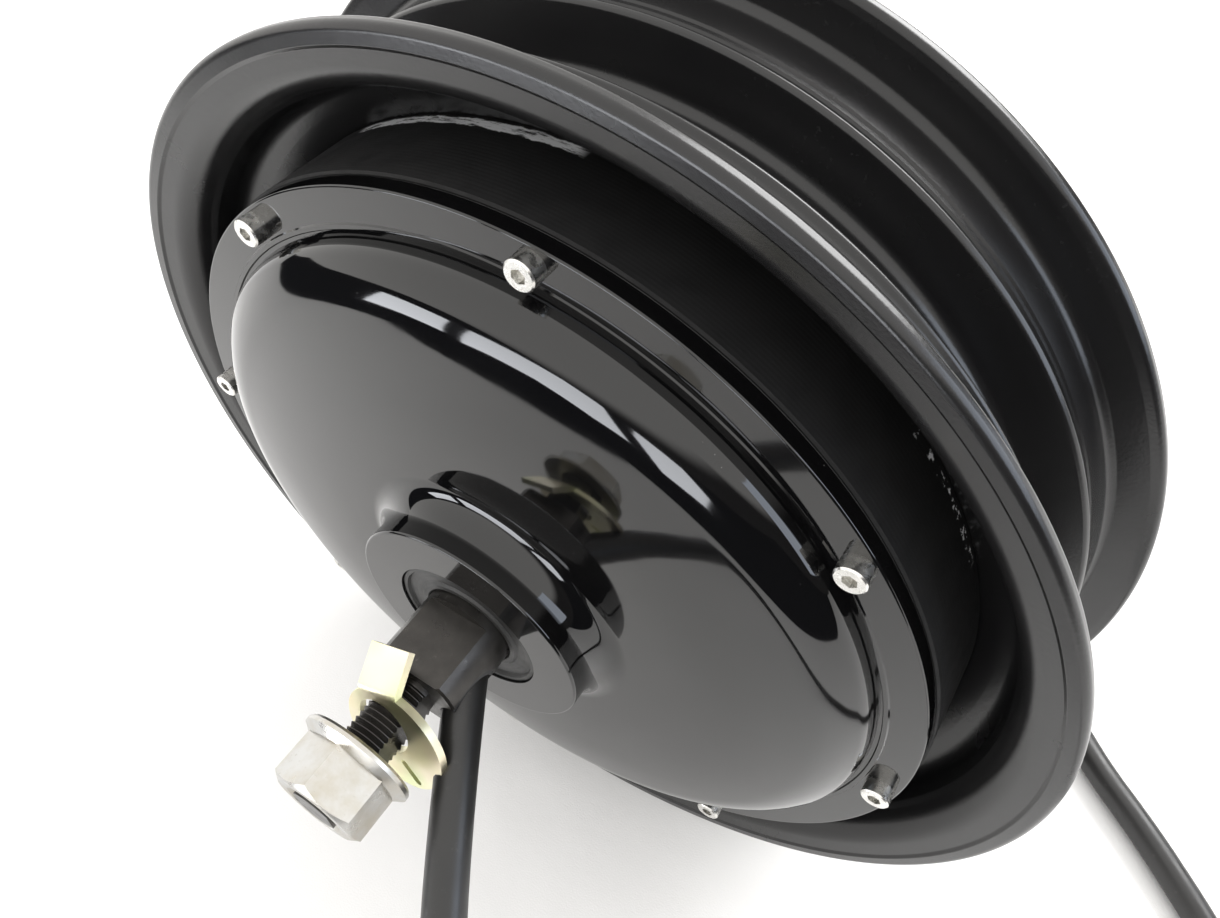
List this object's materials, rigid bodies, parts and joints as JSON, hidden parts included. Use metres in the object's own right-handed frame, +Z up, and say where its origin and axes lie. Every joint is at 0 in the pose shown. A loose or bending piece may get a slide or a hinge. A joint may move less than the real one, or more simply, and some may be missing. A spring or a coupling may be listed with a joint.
{
  "type": "hub motor wheel",
  "caption": "Hub motor wheel: black drop-centre rim on a brushless outrunner motor with domed covers, a flatted threaded axle with nuts and tab washers, and a coiled lead.",
  "frame": {"origin": "centre of the wheel: on the axle's axis, midway between the rim's two lips", "axes": "+Y along the axle away from the lead, +Z up, +X forwards; the lead leaves the axle on the -Y side and lies on the plane z = -0.138"},
  "size_m": [0.4013, 0.4058, 0.276],
  "materials": {
    "rim_black": "satin black powder coat on cast aluminium",
    "drum_black": "matt black paint on steel",
    "cover_black": "gloss black enamel, mirror smooth",
    "magnet_nickel": "nickel plated",
    "gasket_rubber": "thin black gasket",
    "screw_zinc": "bright zinc plate",
    "seal_rubber": "moulded black nitrile",
    "bearing_steel": "ground bearing steel",
    "ball_steel": "polished",
    "cage_nylon": "natural nylon",
    "washer_yellow_zinc": "yellow zinc plate",
    "nut_zinc": "bright zinc plate",
    "axle_steel": "turned and milled steel, black oxide",
    "key_steel": "bright key steel",
    "lamination_steel": "stacked electrical steel, varnished",
    "spider_aluminium": "cast aluminium",
    "insulator_green": "powder coated slot insulation",
    "copper_enamel": "enamelled copper wire",
    "board_green": "solder mask",
    "post_brass": "turned brass",
    "sensor_black": "moulded package",
    "lead_rubber": "matt black jacket",
    "bush_rubber": "moulded black rubber",
    "bundle_insulation": "insulated cores",
    "phase_insulation": "silicone insulated cores",
    "tie_nylon": "black nylon tie",
    "sleeve_black": "shrunk sleeve",
    "terminal_brass": "tinned brass bullet in a clear sleeve",
    "plug_white": "natural nylon housing"
  },
  "bodies": {
    "axle_assembly": {"cable_bearing_inner_race": "bearing_steel", "cable_side_tab_washer": "washer_yellow_zinc", "cable_side_axle_nut": "nut_zinc", "cable_side_end_insulator": "insulator_green", "plain_bearing_inner_race": "bearing_steel", "plain_side_tab_washer": "washer_yellow_zinc", "plain_side_axle_nut": "nut_zinc", "plain_side_end_insulator": "insulator_green", "axle": "axle_steel", "shaft_key": "key_steel", "stator_core": "lamination_steel", "stator_spider": "spider_aluminium", "coils_phase_a": "copper_enamel", "coils_phase_b": "copper_enamel", "coils_phase_c": "copper_enamel", "sensor_board": "board_green", "board_posts": "post_brass", "hall_sensors": "sensor_black", "lead_bush": "bush_rubber", "lead_inner_bundle": "bundle_insulation", "phase_leads": "phase_insulation", "motor_lead": "lead_rubber", "lead_coil": "lead_rubber", "coil_ties": "tie_nylon", "lead_tail": "lead_rubber", "lead_end_sleeve": "sleeve_black", "phase_wires": "phase_insulation", "phase_terminals": "terminal_brass", "signal_wire": "bundle_insulation", "signal_plug": "plug_white"},
    "rotor": {"rim": "rim_black", "magnet_drum": "drum_black", "magnets_north": "magnet_nickel", "magnets_south": "magnet_nickel", "cable_side_cover": "cover_black", "cable_side_gasket": "gasket_rubber", "cable_side_screws": "screw_zinc", "cable_side_oil_seal": "seal_rubber", "cable_bearing_outer_race": "bearing_steel", "cable_bearing_shields": "bearing_steel", "plain_side_cover": "cover_black", "plain_side_gasket": "gasket_rubber", "plain_side_screws": "screw_zinc", "plain_side_oil_seal": "seal_rubber", "plain_bearing_outer_race": "bearing_steel", "plain_bearing_shields": "bearing_steel"},
    "cable_ball_set": {"cable_bearing_balls": "ball_steel", "cable_bearing_cage": "cage_nylon"},
    "plain_ball_set": {"plain_bearing_balls": "ball_steel", "plain_bearing_cage": "cage_nylon"}
  },
  "joints": [
    {"name": "wheel_spin", "type": "hinge", "parent": "axle_assembly", "child": "rotor", "pos_m": [0, 0, 0], "axis": [0, 1, 0], "continuous": true},
    {"name": "cable_bearing_roll", "type": "hinge", "parent": "axle_assembly", "child": "cable_ball_set", "pos_m": [0, -0.0486, 0], "axis": [0, 1, 0], "continuous": true},
    {"name": "plain_bearing_roll", "type": "hinge", "parent": "axle_assembly", "child": "plain_ball_set", "pos_m": [0, 0.0486, 0], "axis": [0, 1, 0], "continuous": true}
  ],
  "couplings": [
    {"joint": "cable_bearing_roll", "follows": "wheel_spin", "ratio": 0.593},
    {"joint": "plain_bearing_roll", "follows": "wheel_spin", "ratio": 0.593}
  ]
}
